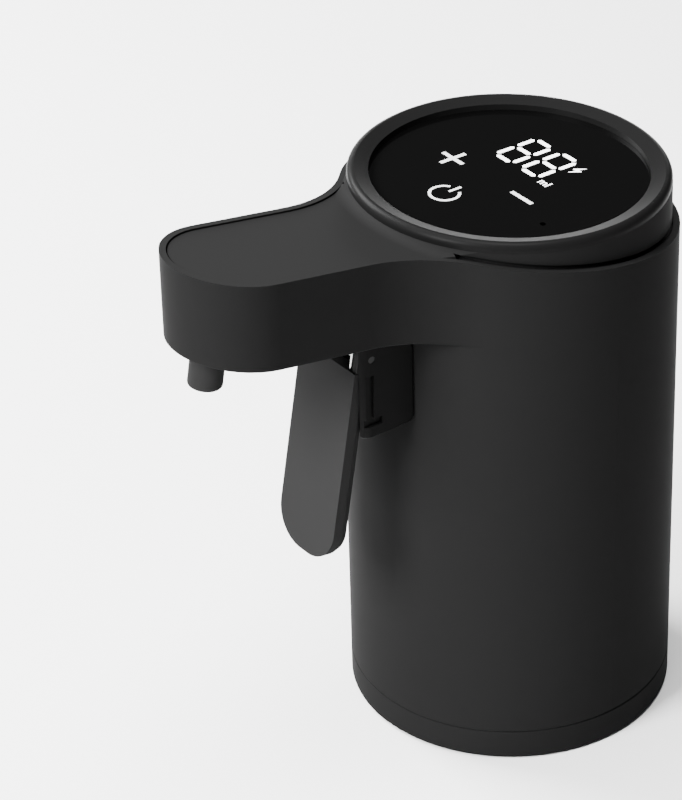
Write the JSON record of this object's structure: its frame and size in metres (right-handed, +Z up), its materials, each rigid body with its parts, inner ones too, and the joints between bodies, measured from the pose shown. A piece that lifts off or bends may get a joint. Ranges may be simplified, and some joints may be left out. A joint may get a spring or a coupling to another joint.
{
  "type": "wine preservation dispenser",
  "caption": "Battery wine dispenser that sits on a bottle's neck: round black body, sloping arm with a nozzle, push lever under the arm, touch display on top.",
  "frame": {"origin": "centre of the foot ring's underside, on the body's axis", "axes": "+Z up along the body's axis, -Y along the arm towards the nozzle, +X to the right when the display is read from the nozzle's side"},
  "size_m": [0.09, 0.1516, 0.17],
  "materials": {
    "black_plastic": "fine matte texture, injection moulded",
    "bezel_plastic": "satin",
    "lever_plastic": "satin",
    "display_glass": "polished, back-printed black",
    "foot_rubber": "matt",
    "silicone": "translucent, food grade",
    "steel": "plain",
    "inner_plastic": "matt",
    "white_plastic": "matt",
    "circuit_board": "green solder mask",
    "electronics": "moulded",
    "cell_wrap": "shrink wrap"
  },
  "bodies": {
    "body": {"foot_ring": "foot_rubber", "base_ring": "black_plastic", "base_screws": "steel", "body_shell": "black_plastic", "top_cover": "black_plastic", "bezel_ring": "bezel_plastic", "display_glass": "display_glass", "display_board": "circuit_board", "digit_module": "electronics", "touch_springs": "steel", "display_screws": "steel", "neck_socket": "inner_plastic", "bottle_stopper": "silicone", "tube_adapter": "white_plastic", "pickup_tube_outer": "steel", "nozzle": "lever_plastic", "nozzle_seal": "silicone", "nozzle_nut": "white_plastic", "nozzle_elbow": "white_plastic", "pinch_valve": "electronics", "wine_hose": "silicone", "air_hoses": "silicone", "check_valve": "white_plastic", "lever_housing": "black_plastic", "housing_screws": "steel", "lever_pin": "steel", "lever_spring": "steel", "switch_body": "electronics", "pump_pad": "foot_rubber", "pump_motor": "steel", "pump_head": "inner_plastic", "pump_screws": "steel", "battery_cells": "cell_wrap", "battery_holder": "inner_plastic", "main_board": "circuit_board", "board_parts": "electronics", "charge_board": "circuit_board", "usb_socket": "steel"},
    "lever": {"lever": "lever_plastic"},
    "plunger": {"switch_plunger": "white_plastic"},
    "tube_middle": {"pickup_tube_middle": "steel"},
    "tube_inner": {"pickup_tube_inner": "steel"},
    "eccentric": {"pump_eccentric": "white_plastic"}
  },
  "joints": [
    {"name": "lever_push", "type": "hinge", "parent": "body", "child": "lever", "pos_m": [0, -0.05669, 0.13033], "axis": [1, 0, 0], "range_deg": [0, 4.5], "stiffness_Nm_per_rad": 0.08, "springref_deg": -20.05, "deforming": ["lever_spring"]},
    {"name": "plunger_slide", "type": "slide", "parent": "body", "child": "plunger", "axis": [0, 1, 0], "range_m": [0, 0.0016]},
    {"name": "tube_middle_slide", "type": "slide", "parent": "body", "child": "tube_middle", "axis": [0, 0, -1], "range_m": [0, 0.042]},
    {"name": "tube_inner_slide", "type": "slide", "parent": "tube_middle", "child": "tube_inner", "axis": [0, 0, -1], "range_m": [0, 0.042]},
    {"name": "eccentric_spin", "type": "hinge", "parent": "body", "child": "eccentric", "pos_m": [-0.02, 0.017, 0.095], "axis": [0, 0, 1], "continuous": true}
  ],
  "couplings": [
    {"joint": "plunger_slide", "follows": "lever_push", "m_per_rad": 0.0184}
  ]
}
